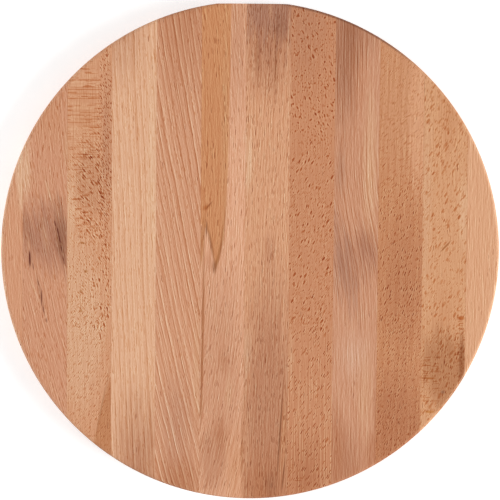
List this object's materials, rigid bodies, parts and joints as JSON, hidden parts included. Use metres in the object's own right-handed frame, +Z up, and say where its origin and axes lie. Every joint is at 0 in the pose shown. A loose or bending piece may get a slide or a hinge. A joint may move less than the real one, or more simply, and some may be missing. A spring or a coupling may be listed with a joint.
{
  "type": "pizza board",
  "caption": "Round flat serving board of edge-glued beech staves, with a rounded-over rim and a short flat on the rim, for cutting and serving a pizza.",
  "frame": {"origin": "on the underside, at the axis of the round rim", "axes": "+Z up out of the serving face, Y along the grain with +Y towards the flat on the rim, X across the staves"},
  "size_m": [0.35, 0.3482, 0.018],
  "materials": {
    "pale_beech": "sanded and oiled, satin",
    "rosy_beech": "sanded and oiled, satin",
    "tan_beech": "sanded and oiled, satin",
    "heart_beech": "sanded and oiled, satin",
    "flecked_beech": "sanded and oiled, satin",
    "cured_glue": "cured wood glue, sanded flush"
  },
  "bodies": {
    "root": {"stave_01": "rosy_beech", "stave_02": "heart_beech", "stave_03": "tan_beech", "stave_04": "pale_beech", "stave_05": "heart_beech", "stave_06": "tan_beech", "stave_07": "heart_beech", "stave_08": "flecked_beech", "stave_09": "heart_beech", "stave_10": "flecked_beech", "stave_11": "tan_beech", "stave_12": "pale_beech", "glue_line_01": "cured_glue", "glue_line_02": "cured_glue", "glue_line_03": "cured_glue", "glue_line_04": "cured_glue", "glue_line_05": "cured_glue", "glue_line_06": "cured_glue", "glue_line_07": "cured_glue", "glue_line_08": "cured_glue", "glue_line_09": "cured_glue", "glue_line_10": "cured_glue", "glue_line_11": "cured_glue"}
  },
  "joints": []
}
